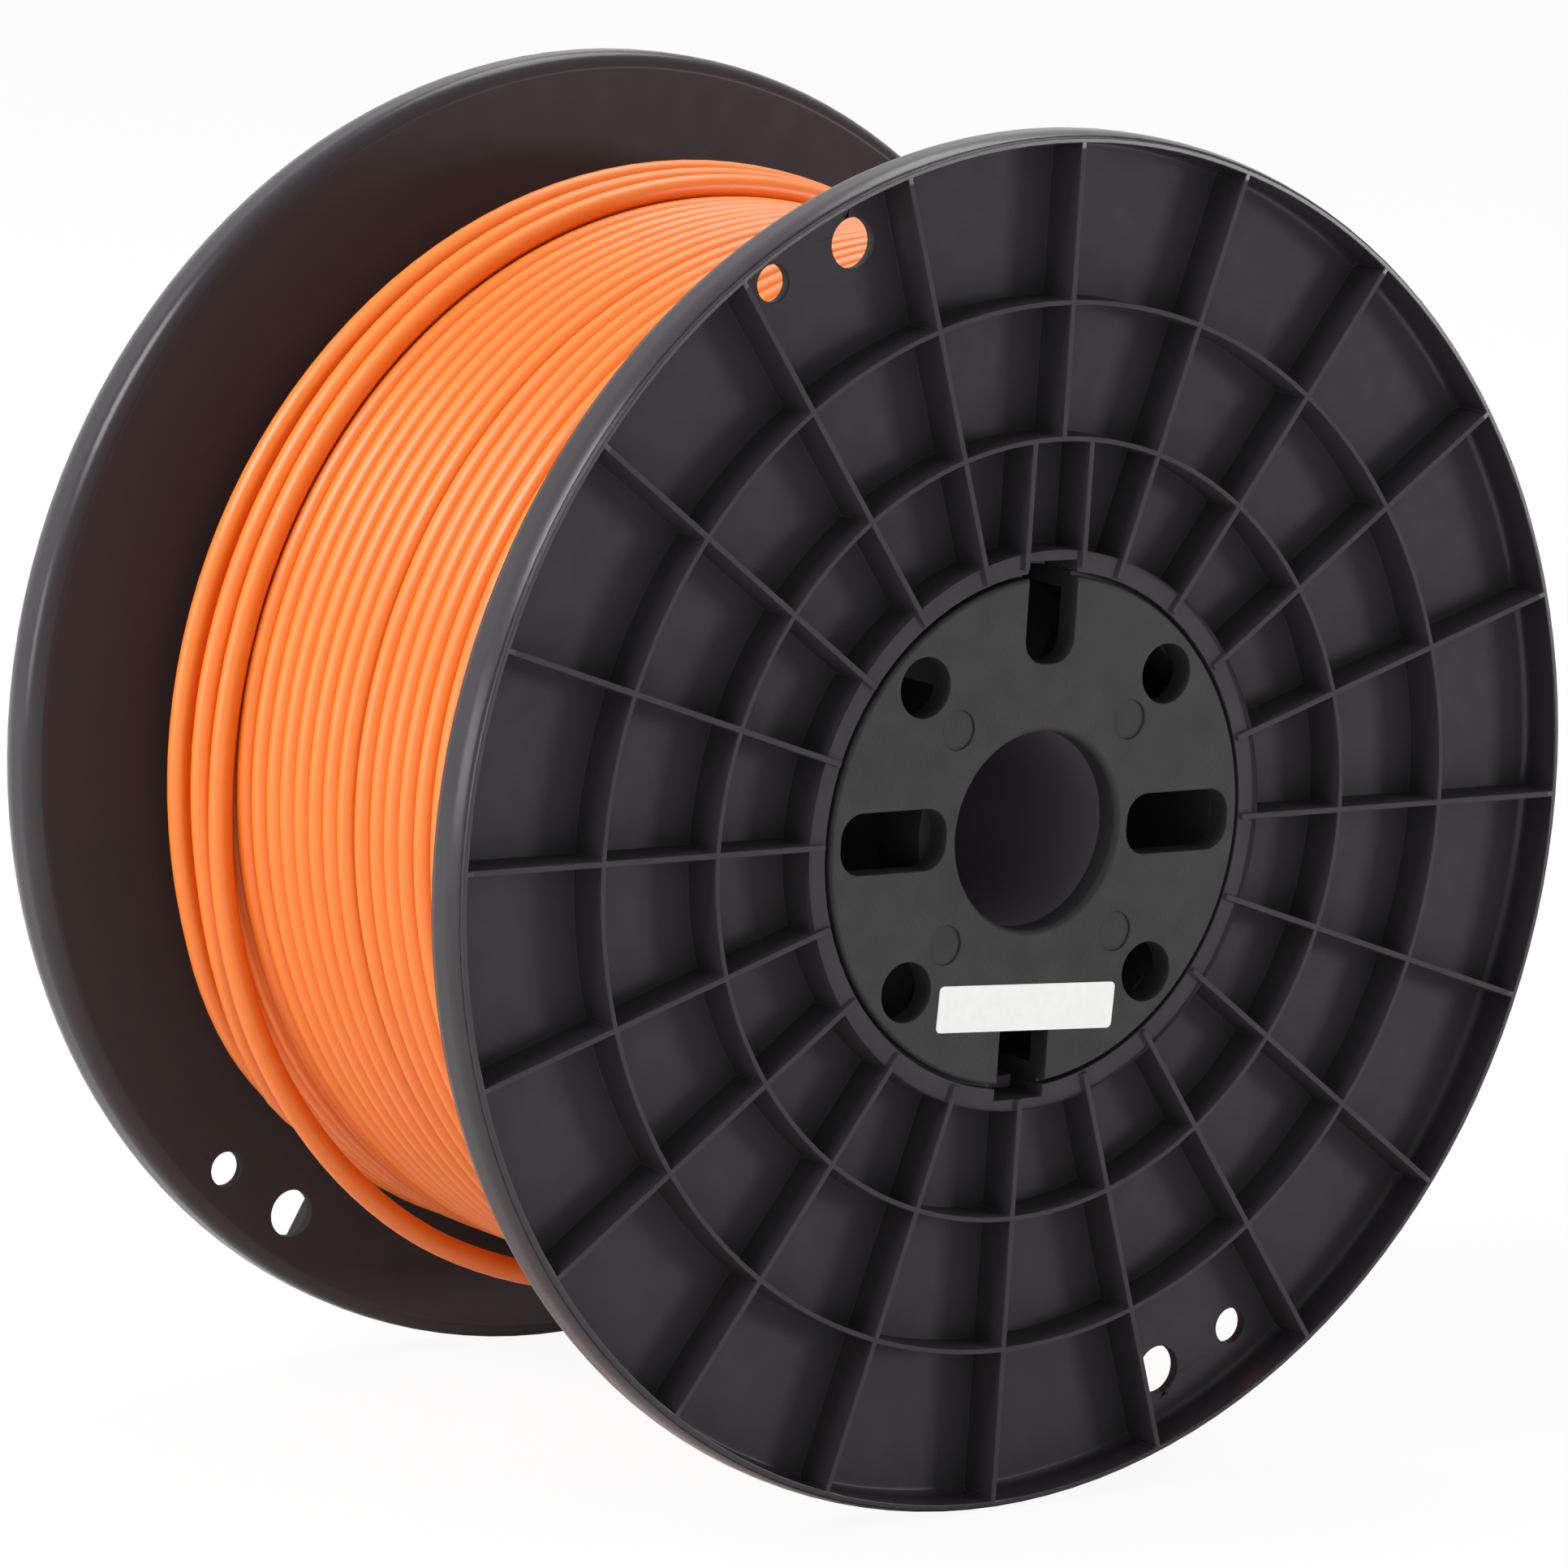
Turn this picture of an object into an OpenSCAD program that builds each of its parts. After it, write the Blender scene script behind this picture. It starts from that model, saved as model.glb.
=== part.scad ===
// Filament spool, full. Two ribbed flanges are pressed over the necks of two hubs, the necks plug
// into the ends of a plain barrel, and a spindle tube runs between the hubs. The filament is wound
// on the barrel in staggered layers, and its loose end is parked in a hole of the rear flange.
// The origin is the middle of the spool. +Y runs along the spindle towards the rear, +Z is up.

/* [Spool] */
// Outer diameter of each flange
flange_d = 160; // [155:1:190]
// Width over both flanges
spool_w = 95; // [90:1:110]
// Bore that the spindle passes through
bore_d = 23; // [20:0.5:23.5]
// Outer diameter of the barrel under the filament
barrel_d = 65; // [64:0.5:68]
// Wall of the barrel
barrel_wall = 2.5; // [1.5:0.1:3]
// Turn of the rear flange and hub against the front ones, in degrees
rear_turn = 11; // [0:1:17]

/* [Flange moulding] */
// Thickness at the rim
flange_t = 6.5; // [6.2:0.1:7.5]
// Flat web between the ribs
web_t = 1.3; // [1:0.1:1.8]
// Wall of the rounded rim
rim_wall = 1.3; // [1:0.1:1.8]
// Radius of the rounded inner edge of the rim
rim_round = 6; // [4.5:0.1:6]
// Depth of the step round the outer edge of the rim
rim_step_h = 0.4; // [0.2:0.1:0.4]
// Width of that step
rim_step_w = 0.7; // [0.3:0.1:0.8]
// Number of radial ribs, a multiple of four
rib_count = 20; // [12:4:24]
// Thickness of a radial rib
rib_t = 0.7; // [0.5:0.1:1]
// Radius of the inner ring rib
ring_in_r = 45.2; // [40:0.1:50]
// Radius of the outer ring rib
ring_out_r = 60.7; // [55:0.1:65]
// Thickness of a ring rib
ring_t = 0.6; // [0.4:0.1:1]
// Drop of the collar's face below the ribs
collar_drop = 0.5; // [0.3:0.1:1]
// Gap between the two ribs that stand beside the top notch, centre to centre
twin_rib_gap = 8.2; // [8:0.1:9]
// Diameter of the larger parking hole near the rim
park_large_d = 5.8; // [5:0.1:6]
// Distance of the larger parking hole from the axis
park_large_r = 72.7; // [70:0.1:73.5]
// Angle of the larger parking hole
park_large_angle = 112.5; // [112:0.1:113.5]
// Diameter of the smaller parking hole near the rim
park_small_d = 4.3; // [4:0.1:4.6]
// Distance of the smaller parking hole from the axis
park_small_r = 73.7; // [71:0.1:74]
// Angle of the smaller parking hole
park_small_angle = 121.5; // [121:0.1:122]

/* [Hub moulding] */
// Depth of the hub's face below the flange's front
hub_recess = 0.2; // [0.15:0.05:0.5]
// Thickness of the hub's face plate
plate_t = 3; // [2:0.1:4]
// Width of the groove between the hub's face and the flange
groove_w = 0.5; // [0.3:0.1:0.8]
// Depth of that groove
groove_h = 1.5; // [1:0.1:2.5]
// Rounding of the face plate's outer edge
plate_round = 0.5; // [0.2:0.1:0.8]
// Rounding of the bore's mouth
bore_round = 0.8; // [0.4:0.1:1]
// Wall of the hub's neck
neck_wall = 2.1; // [1.5:0.1:2.5]
// Reach of the neck into the barrel
neck_reach = 10; // [8:0.5:14]
// Diameter of the four fixing holes
fixing_d = 7; // [5:0.1:7.4]
// Diameter of the circle of fixing holes
fixing_pcd = 49.4; // [49:0.1:50]
// Length of the two closed drive slots
slot_l = 14.9; // [13:0.1:15]
// Width of the two closed drive slots
slot_w = 7.1; // [6:0.1:7.5]
// Distance of a drive slot's middle from the axis
slot_r = 20.6; // [20.4:0.1:20.8]
// Width of the two open notches
notch_w = 7; // [6:0.1:7.2]
// Distance of a notch's round end from the axis
notch_in_r = 19.4; // [18:0.1:21]
// Collar wall that is left outside a notch
notch_wall = 1.3; // [0.8:0.1:1.8]
// Rounding of the corners of slots and notches
slot_round = 2.9; // [2:0.1:2.9]
// Diameter of the four round ejector marks
mark_d = 4.6; // [3.5:0.1:5]
// Depth of an ejector mark
mark_h = 0.25; // [0.1:0.05:0.4]
// Distance of an ejector mark from the axis
mark_r = 17.5; // [16:0.1:17.6]
// Thickness of the eight webs behind the face plate
web_rib_t = 1.4; // [1:0.1:2]
// Depth of those webs
web_rib_h = 7; // [4:0.5:9]

/* [Spindle tube and joints] */
// Wall of the spindle tube
tube_wall = 1.6; // [1.2:0.1:2]
// Depth of the socket behind each face plate that holds the tube
socket_h = 8; // [5:0.5:10]
// Wall of that socket
socket_wall = 1.6; // [1.2:0.1:2]
// Radial clearance of the seats
seat_gap = 0.05; // [0.02:0.01:0.1]
// Height of the snap beads round a neck
bead_h = 0.3; // [0.2:0.05:0.4]

/* [Label] */
// Length of the blank label
label_l = 25.6; // [20:0.1:27]
// Height of the blank label
label_h = 5.4; // [4:0.1:6]
// Thickness of the blank label
label_t = 0.12; // [0.1:0.01:0.14]
// Distance of the label's middle below the axis
label_drop = 20.4; // [19.5:0.1:20.8]
// Tilt of the label in degrees
label_tilt = -2.7; // [-6:0.1:3]
// Rounding of the label's corners
label_round = 0.6; // [0.2:0.1:1]

/* [Filament] */
// Diameter of the filament
strand_d = 2.85; // [2.8:0.05:2.9]
// Spacing of neighbouring turns
turn_pitch = 3.085; // [3.06:0.005:3.09]
// Turns in a full layer
layer_turns = 26; // [20:1:26]
// Turns in the last, unfinished layer
last_turns = 23; // [18:1:23]
// Room between the front flange and the first turn
first_turn_gap = 0.37; // [0.3:0.01:0.5]
// Free gap between one layer and the next
layer_gap = 0.07; // [0.05:0.01:0.08]

/* [Hidden] */
$fn = 96;
layer_count = 13;
function layer_name(k) = str("winding_layer_", k < 10 ? "0" : "", k);

flange_r = flange_d / 2;
bore_r = bore_d / 2;
barrel_r = barrel_d / 2;
// The flange's bore and the barrel's bore are one size, so that one neck fits both
seat_r = barrel_r - barrel_wall;
neck_r = seat_r - seat_gap;
neck_in_r = neck_r - neck_wall;
hub_r = seat_r - groove_w;
neck_end = flange_t + neck_reach;
tube_r = bore_r + tube_wall;
socket_r = tube_r + seat_gap;
plate_back = hub_recess + plate_t;
notch_out_r = barrel_r - notch_wall;
pocket_h = flange_t - web_t;
rim_centre_r = flange_r - rim_round;
rim_centre_h = flange_t - rim_round;
// The beads sit halfway through the flange's collar and halfway along the neck's reach
bead_round = 0.6;
bead_gap = 0.05;
bead_depths = [(collar_drop + flange_t) / 2, flange_t + neck_reach / 2];
overlap = 0.2;
barrel_l = spool_w - 2 * flange_t;
layer_pitch = sqrt(strand_d * strand_d - turn_pitch * turn_pitch / 4) + layer_gap;
first_layer_r = barrel_r + strand_d / 2 + layer_gap;
function layer_r(k) = first_layer_r + (k - 1) * layer_pitch;
// Even layers lie in the hollows of the odd ones, half a turn further back
first_turn_y = -(barrel_l / 2 - strand_d / 2 - first_turn_gap);
function turns_in(k) = k == layer_count ? last_turns : layer_turns;
function turn_y(k, i) = first_turn_y + (k % 2 == 0 ? turn_pitch / 2 : 0) + i * turn_pitch;
function last_turn_y(k) = turn_y(k, turns_in(k) - 1);

plastic_black = [0.16, 0.16, 0.17];
filament_orange = [1.0, 0.5, 0.16];
label_white = [0.93, 0.93, 0.92];

// Profiles and pieces below are drawn looking at the front face: x right, y up, z towards the
// viewer, with the middle of the spool at z = 0. This turns them onto the spool's own axes.
module stand_up() {
    rotate([90, 0, 0]) children();
}

// Moves something drawn with its outer face at z = 0 out to the front face
module at_front() {
    translate([0, 0, spool_w / 2]) children();
}

// The rear moulding is the front one turned round, and turned a little about the spindle
module at_rear() {
    rotate([0, 0, -rear_turn]) rotate([0, 180, 0]) at_front() children();
}

// A rectangle between two radii and two depths below the outer face
module band(r0, r1, depth0, depth1) {
    translate([r0, -depth1]) square([r1 - r0, depth1 - depth0]);
}

// A straight slot with rounded corners, cut square through its depth
module slot_cut(x0, x1, y0, y1, corner, depth0, depth1) {
    h = depth1 - depth0;
    translate([0, 0, -depth1]) {
        translate([x0 + corner, y0, 0]) cube([x1 - x0 - 2 * corner, y1 - y0, h]);
        translate([x0, y0 + corner, 0]) cube([x1 - x0, y1 - y0 - 2 * corner, h]);
        for (x = [x0 + corner, x1 - corner], y = [y0 + corner, y1 - corner])
            translate([x, y, 0]) cylinder(r = corner, h = h, $fn = 48);
    }
}

// ---------------------------------------------------------------- flange

// Half section of the hollow between collar and rim, with a margin that makes joined solids overlap
module pocket_profile(margin = 0) {
    fillet_r = rim_round - rim_wall + margin;
    band(barrel_r - margin, rim_centre_r, -1, pocket_h + margin);
    band(rim_centre_r - 0.01, flange_r - rim_wall + margin, -1, rim_centre_h);
    intersection() {
        translate([rim_centre_r, -rim_centre_h]) circle(r = fillet_r);
        band(rim_centre_r - 0.01, flange_r, rim_centre_h, pocket_h + margin);
    }
}

// Half section of the flange's shell: web, rounded rim with its step, collar and ring ribs
module shell_profile() {
    difference() {
        union() {
            band(seat_r, barrel_r, collar_drop, flange_t);
            band(barrel_r - 0.01, rim_centre_r, 0, flange_t);
            band(rim_centre_r - 0.01, flange_r - rim_step_w, 0, rim_centre_h);
            band(rim_centre_r - 0.01, flange_r, rim_step_h, rim_centre_h);
            intersection() {
                translate([rim_centre_r, -rim_centre_h]) circle(r = rim_round);
                band(rim_centre_r - 0.01, flange_r + 1, rim_centre_h, flange_t);
            }
        }
        pocket_profile();
        bead_section(bead_gap);
    }
    for (r = [ring_in_r, ring_out_r])
        band(r - ring_t / 2, r + ring_t / 2, 0, pocket_h + overlap);
}

// Section of the snap beads, grown by a gap for the grooves that take them
module bead_section(gap = 0) {
    for (depth = bead_depths)
        translate([neck_r + bead_h - bead_round, -depth])
            circle(r = bead_round + gap, $fn = 32);
}

// One upright rib along +x between two radii
module rib(r0, r1, y = 0) {
    translate([r0, y - rib_t / 2, -flange_t]) cube([r1 - r0, rib_t, flange_t]);
}

// All radial ribs. The top one stops at the inner ring, where a pair beside the notch takes over
module radial_ribs() {
    top = rib_count / 4;
    for (i = [0 : rib_count - 1])
        rotate([0, 0, i * 360 / rib_count])
            rib(i == top ? ring_in_r : seat_r + 0.3, flange_r);
    rotate([0, 0, 90])
        for (side = [-1, 1])
            rib(seat_r + 0.3, ring_in_r, side * twin_rib_gap / 2);
}

// The space that the ribs may fill: the pockets, and the strip above the collar
module rib_space() {
    rotate_extrude() {
        pocket_profile(overlap);
        band(seat_r + 0.3, barrel_r, -1, collar_drop + overlap);
    }
}

module notches(depth1) {
    for (turn = [90, 270])
        rotate([0, 0, turn])
            translate([0, 0, -depth1])
            difference() {
                translate([notch_in_r, -notch_w / 2, 0])
                    cube([notch_out_r - notch_in_r, notch_w, depth1 + 1]);
                notch_corners(depth1 + 1);
            }
}

// What the rounded inner end leaves standing in the two corners of a notch
module notch_corners(h) {
    for (side = [-1, 1])
        difference() {
            translate([notch_in_r - 1, side > 0 ? notch_w / 2 - slot_round : -notch_w / 2 - 1, -1])
                cube([slot_round + 1, slot_round + 1, h + 2]);
            translate([notch_in_r + slot_round, side * (notch_w / 2 - slot_round), -2])
                cylinder(r = slot_round, h = h + 4, $fn = 48);
        }
}

module parking_holes() {
    for (half = [0, 180]) {
        rotate([0, 0, half + park_large_angle])
            translate([park_large_r, 0, -flange_t - 1])
            cylinder(d = park_large_d, h = flange_t + 2, $fn = 48);
        rotate([0, 0, half + park_small_angle])
            translate([park_small_r, 0, -flange_t - 1])
            cylinder(d = park_small_d, h = flange_t + 2, $fn = 48);
    }
}

module flange_moulding() {
    difference() {
        union() {
            rotate_extrude() shell_profile();
            intersection() {
                radial_ribs();
                rib_space();
                translate([0, 0, -flange_t]) cylinder(r = flange_r, h = flange_t);
            }
        }
        notches(flange_t + 1);
        parking_holes();
    }
}

module front_flange() {
    color(plastic_black) stand_up() at_front() flange_moulding();
}

module rear_flange() {
    color(plastic_black) stand_up() at_rear() flange_moulding();
}

// ---------------------------------------------------------------- hub

// Half section of the hub: face plate with rounded edges, neck with snap beads, tube socket
module hub_profile() {
    top = hub_recess;
    band(bore_r + bore_round, hub_r - plate_round, top, plate_back);
    band(bore_r, bore_r + bore_round + 0.01, top + bore_round, plate_back);
    translate([bore_r + bore_round, -top - bore_round]) circle(r = bore_round, $fn = 48);
    translate([hub_r - plate_round, -top - plate_round]) circle(r = plate_round, $fn = 48);
    band(neck_in_r, hub_r, top + plate_round, neck_end);
    band(hub_r - 0.01, neck_r, top + groove_h, neck_end);
    bead_section();
    band(socket_r, socket_r + socket_wall, plate_back - 0.01, plate_back + socket_h);
}

module hub_webs() {
    for (i = [0 : 7])
        rotate([0, 0, 22.5 + i * 45])
            translate([socket_r + socket_wall / 2, -web_rib_t / 2, -plate_back - web_rib_h])
            cube([neck_in_r - socket_r - socket_wall / 2 + 0.5, web_rib_t, web_rib_h + 0.5]);
}

module hub_moulding() {
    difference() {
        union() {
            rotate_extrude() hub_profile();
            hub_webs();
        }
        notches(neck_end + 1);
        for (turn = [0, 180])
            rotate([0, 0, turn])
                slot_cut(slot_r - slot_l / 2, slot_r + slot_l / 2, -slot_w / 2, slot_w / 2,
                         slot_round, -1, plate_back);
        for (i = [0 : 3])
            rotate([0, 0, 45 + i * 90]) {
                translate([fixing_pcd / 2, 0, -plate_back - 1])
                    cylinder(d = fixing_d, h = plate_back + 2, $fn = 48);
                translate([mark_r, 0, -hub_recess - mark_h])
                    cylinder(d = mark_d, h = 1, $fn = 48);
            }
    }
}

module front_hub() {
    color(plastic_black) stand_up() at_front() hub_moulding();
}

module rear_hub() {
    color(plastic_black) stand_up() at_rear() hub_moulding();
}

// ---------------------------------------------------------------- barrel and spindle tube

module barrel() {
    color(plastic_black) stand_up()
    rotate_extrude()
    difference() {
        translate([seat_r, -barrel_l / 2]) square([barrel_wall, barrel_l]);
        for (end = [0, 1])
            mirror([0, end]) translate([0, spool_w / 2]) bead_section(bead_gap);
    }
}

module spindle_tube() {
    length = spool_w - 2 * plate_back;
    color(plastic_black) stand_up()
    rotate_extrude()
    translate([bore_r, -length / 2]) square([tube_wall, length]);
}

// ---------------------------------------------------------------- label

module label() {
    x = label_l / 2 - label_round;
    y = label_h / 2 - label_round;
    color(label_white) stand_up() at_front()
    translate([0, -label_drop, -hub_recess])
    rotate([0, 0, label_tilt]) {
        translate([-x, -label_h / 2, 0]) cube([2 * x, label_h, label_t]);
        translate([-label_l / 2, -y, 0]) cube([label_l, 2 * y, label_t]);
        for (sx = [-x, x], sy = [-y, y])
            translate([sx, sy, 0]) cylinder(r = label_round, h = label_t, $fn = 32);
    }
}

// ---------------------------------------------------------------- filament

// A buried layer, drawn as the plain sleeve that its turns fill
module buried_layer(k) {
    front = turn_y(k, 0) - strand_d / 2;
    rear = last_turn_y(k) + strand_d / 2;
    inner = layer_r(k) - layer_pitch / 2 + layer_gap;
    rotate_extrude()
        translate([inner, -rear]) square([layer_pitch - layer_gap, rear - front]);
}

// A layer whose turns show: a row of round turns that grow from a thin sleeve
module turned_layer(k) {
    front = turn_y(k, 0);
    rear = last_turn_y(k);
    inner = layer_r(k - 1) + strand_d / 2 + layer_gap;
    root = layer_r(k) - 0.4;
    rotate_extrude()
    difference() {
        union() {
            for (i = [0 : turns_in(k) - 1])
                translate([layer_r(k), -turn_y(k, i)]) circle(d = strand_d, $fn = 32);
            translate([inner, -rear]) square([root - inner, rear - front]);
        }
        translate([0, -spool_w / 2]) square([inner, spool_w]);
    }
}

module winding_layer(k) {
    color(filament_orange) stand_up() {
        if (k < layer_count - 1) buried_layer(k);
        else turned_layer(k);
    }
}

// Stations along the outermost filament: [angle, height, place]. The angle counts from +X towards
// +Z and grows as the filament is wound on, past whole turns. The height is taken from the middle
// of the last layer's turns, and the place along the spindle from its last turn. The filament
// crosses forwards there, makes three turns on top, each a little further back, bulges off the
// winding low on the left in the first of them, and drops off the layer's rear edge.
top_stations = [
    [-95, 2.9, 0.05],
    [-75, 2.95, -0.95],
    [-50, 3, -2.05],
    [-20, 3, -3.75],
    [10, 3, -5.75],
    [40, 2.9, -7.35],
    [60, 2.7, -7.7],
    [120, 2.8, -7.7],
    [165, 3.1, -7.7],
    [182, 3.3, -7.7],
    [192, 3.8, -7.7],
    [200, 4.2, -7.7],
    [210, 4.65, -7.7],
    [220, 4.9, -7.7],
    [230, 4.95, -7.7],
    [240, 4.75, -7.7],
    [250, 4.2, -7.7],
    [262, 3.9, -7.7],
    [285, 4.3, -7.5],
    [305, 5, -7.15],
    [325, 5.6, -6.55],
    [345, 5.9, -5.85],
    [360, 5.95, -5.35],
    [375, 5.8, -4.95],
    [395, 4.6, -4.65],
    [415, 3.3, -4.6],
    [435, 2.9, -4.6],
    [500, 3, -4.6],
    [535, 3.3, -4.55],
    [560, 3.4, -4.6],
    [575, 3.55, -4.6],
    [588, 3.9, -4.6],
    [600, 4.1, -4.6],
    [612, 4.05, -4.6],
    [625, 4, -4.55],
    [645, 4.7, -4.25],
    [665, 5.6, -3.75],
    [682, 5.9, -3.35],
    [700, 5.8, -2.85],
    [720, 4.8, -2.35],
    [740, 3.8, -1.85],
    [765, 3.4, -1.55],
    [790, 3.4, -1.55],
    [820, 3.4, -1.15],
    [850, 3.3, -0.45],
    [880, 3.3, 0.25],
    [905, 3.3, 0.65],
    [925, 3.1, 1.1],
    [936, 2.7, 1.65],
    [943, 2, 2.35],
    [949, 1.1, 2.85],
    [955, 0.35, 3.05],
    [965, 0.15, 3.1],
    [1000, 0.15, 3.25]
];
top_route = [
    for (p = top_stations)
        [p[0], layer_r(layer_count) + p[1], last_turn_y(layer_count) + p[2]]
];
// Stations of the filament's loose end, from where it leaves the winding to its parking hole
loose_route = concat([top_route[len(top_route) - 1] - [2 * 360, 0, 0]], [
    [292, 64, 31.95],
    [305, 64.7, 32],
    [320, 66.1, 32.1],
    [336, 68, 32.2],
    [352, 69.9, 32.3],
    [366, 71.4, 32.4],
    [377, 72.4, 32.45],
    [387, 73.15, 32.4],
    [393, 73.5, 32.35],
    [397.2, 73.65, 32.5],
    [400.2, 73.7, 33.05],
    [403, 73.7, 34.6],
    [405.15, 73.7, 36.95],
    [406.85, 73.7, 40],
    [407.85, 73.7, 42.4],
    [408.9, 73.7, 45]
]);
cord_sides = 8;
cord_step = 7.4;

// Smooth interpolation through the stations, in angle, radius and place along the spindle
function spline(a, b, c, d, t) =
    0.5 * (2 * b + (c - a) * t + (2 * a - 5 * b + 4 * c - d) * t * t
           + (3 * b - a - 3 * c + d) * t * t * t);
function station(route, i) = route[max(0, min(len(route) - 1, i))];
function polar_at(route, u) =
    let (i = min(floor(u), len(route) - 2))
    spline(station(route, i - 1), station(route, i), station(route, i + 1),
           station(route, i + 2), u - i);
function place(p) = [p[1] * cos(p[0]), p[2], p[1] * sin(p[0])];
function point_at(route, u) = place(polar_at(route, u));
function unit(v) = v / norm(v);
function tangent_at(route, u) =
    unit(point_at(route, min(len(route) - 1, u + 0.01)) - point_at(route, max(0, u - 0.01)));
function reach(route, i) = norm(point_at(route, i + 1) - point_at(route, i + 0.5))
                         + norm(point_at(route, i + 0.5) - point_at(route, i));
// Where the rings of the tube stand: evenly shared out along each stretch between two stations
function ring_places(route) = concat(
    [for (i = [0 : len(route) - 2])
        let (n = max(1, ceil(reach(route, i) / cord_step)))
        for (j = [0 : n - 1]) i + j / n],
    [len(route) - 1]
);
// One ring of points round the route, its first corner pointing away from the spindle
function ring_points(route, u) =
    let (
        p = point_at(route, u),
        t = tangent_at(route, u),
        out = unit([p[0], 0, p[2]]),
        side = unit(cross(t, out)),
        up = cross(side, t)
    )
    [for (k = [0 : cord_sides - 1])
        p + strand_d / 2 * (cos(k * 360 / cord_sides) * up + sin(k * 360 / cord_sides) * side)];

module swept_strand(route) {
    places = ring_places(route);
    last = len(places) - 1;
    n = cord_sides;
    corners = [for (u = places) each ring_points(route, u)];
    sides = [for (i = [0 : last - 1], k = [0 : n - 1])
        [i * n + k, i * n + (k + 1) % n, (i + 1) * n + (k + 1) % n, (i + 1) * n + k]];
    start = [for (k = [n - 1 : -1 : 0]) k];
    end = [for (k = [0 : n - 1]) last * n + k];
    polyhedron(points = corners, faces = concat(sides, [start], [end]), convexity = 8);
}

module winding_top_turns() {
    color(filament_orange) swept_strand(top_route);
}

module loose_end() {
    color(filament_orange) swept_strand(loose_route);
}

// ---------------------------------------------------------------- nodes

front_flange();
rear_flange();
front_hub();
rear_hub();
barrel();
spindle_tube();
label();
for (k = [1 : layer_count])
    winding_layer(k);
winding_top_turns();
loose_end();
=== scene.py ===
import bmesh
import bpy
import math
from mathutils import Matrix, Vector


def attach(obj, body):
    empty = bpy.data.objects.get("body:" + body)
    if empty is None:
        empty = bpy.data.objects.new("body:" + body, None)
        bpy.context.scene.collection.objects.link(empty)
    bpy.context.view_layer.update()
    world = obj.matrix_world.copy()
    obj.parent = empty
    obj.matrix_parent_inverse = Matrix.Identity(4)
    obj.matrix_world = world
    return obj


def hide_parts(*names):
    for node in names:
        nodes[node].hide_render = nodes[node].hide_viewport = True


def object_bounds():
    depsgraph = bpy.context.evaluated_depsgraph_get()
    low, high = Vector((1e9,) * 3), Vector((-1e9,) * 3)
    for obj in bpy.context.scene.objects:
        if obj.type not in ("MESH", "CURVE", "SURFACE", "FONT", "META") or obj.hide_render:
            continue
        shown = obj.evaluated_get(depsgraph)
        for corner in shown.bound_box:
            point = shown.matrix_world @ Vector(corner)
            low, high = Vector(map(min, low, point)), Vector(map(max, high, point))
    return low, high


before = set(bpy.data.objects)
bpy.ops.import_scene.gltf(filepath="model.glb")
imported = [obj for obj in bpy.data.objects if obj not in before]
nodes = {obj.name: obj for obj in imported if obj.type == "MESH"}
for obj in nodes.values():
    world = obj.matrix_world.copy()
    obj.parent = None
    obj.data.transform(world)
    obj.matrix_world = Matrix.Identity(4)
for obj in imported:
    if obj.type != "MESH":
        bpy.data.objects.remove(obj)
cad_low, cad_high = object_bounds()
scene = bpy.context.scene
MM = 0.001


# ------------------------------------------------------------------ camera
# A long lens about a metre off, in front of the spool, to its left and a little above it.
# The spool stands on its rims, and the camera leans over by a few degrees.

CAMERA_PLACE = (-0.5603, -0.7365, 0.1585)
CAMERA_HEADING = 37.23
CAMERA_DIP = 9.89
CAMERA_LEAN = 3.52
CAMERA_LENS = 181.8

camera_data = bpy.data.cameras.new("camera")
camera_data.sensor_width = 36
camera_data.lens = CAMERA_LENS
camera_data.clip_start = 0.05
camera = bpy.data.objects.new("camera", camera_data)
camera.matrix_world = (
    Matrix.Translation(CAMERA_PLACE)
    @ Matrix.Rotation(math.radians(-CAMERA_HEADING), 4, "Z")
    @ Matrix.Rotation(math.radians(90 - CAMERA_DIP), 4, "X")
    @ Matrix.Rotation(math.radians(CAMERA_LEAN), 4, "Z")
)
scene.collection.objects.link(camera)
scene.camera = camera


# ------------------------------------------------------------------ barrel and spindle tube
# Two plain tubes of black polystyrene, extruded and cut to length. The barrel carries the
# filament, and the spindle tube is the wall that shows inside the bore. Both keep their CAD shape.

CORE_BLACK = "#5A545B"
CORE_BLACK_WORN = "#635D64"
# Every black plastic here has cloudy patches, and spots that are rubbed a little rougher or
# smoother: how many fit in a metre, and by how much the roughness changes
CLOUDS_PER_METRE = 45
SPOTS_PER_METRE = 330
RUBBED_BY = 0.05


def linear(hex_colour):
    """An sRGB hex colour as the linear red, green, blue and alpha that sockets take"""
    channels = [int(hex_colour[i : i + 2], 16) / 255 for i in (1, 3, 5)]
    return [c / 12.92 if c <= 0.04045 else ((c + 0.055) / 1.055) ** 2.4 for c in channels] + [1]


def add_node(tree, kind, inputs=None, **settings):
    """Adds a node with its settings. Each input takes a value, or a socket to link from"""
    node = tree.nodes.new(kind)
    for name, value in settings.items():
        setattr(node, name, value)
    for name, value in (inputs or {}).items():
        if isinstance(value, bpy.types.NodeSocket):
            tree.links.new(value, node.inputs[name])
        else:
            node.inputs[name].default_value = value
    return node


def new_material(name):
    """An empty node material, and its tree"""
    material = bpy.data.materials.new(name)
    material.use_nodes = True
    material.node_tree.nodes.clear()
    return material, material.node_tree


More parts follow.
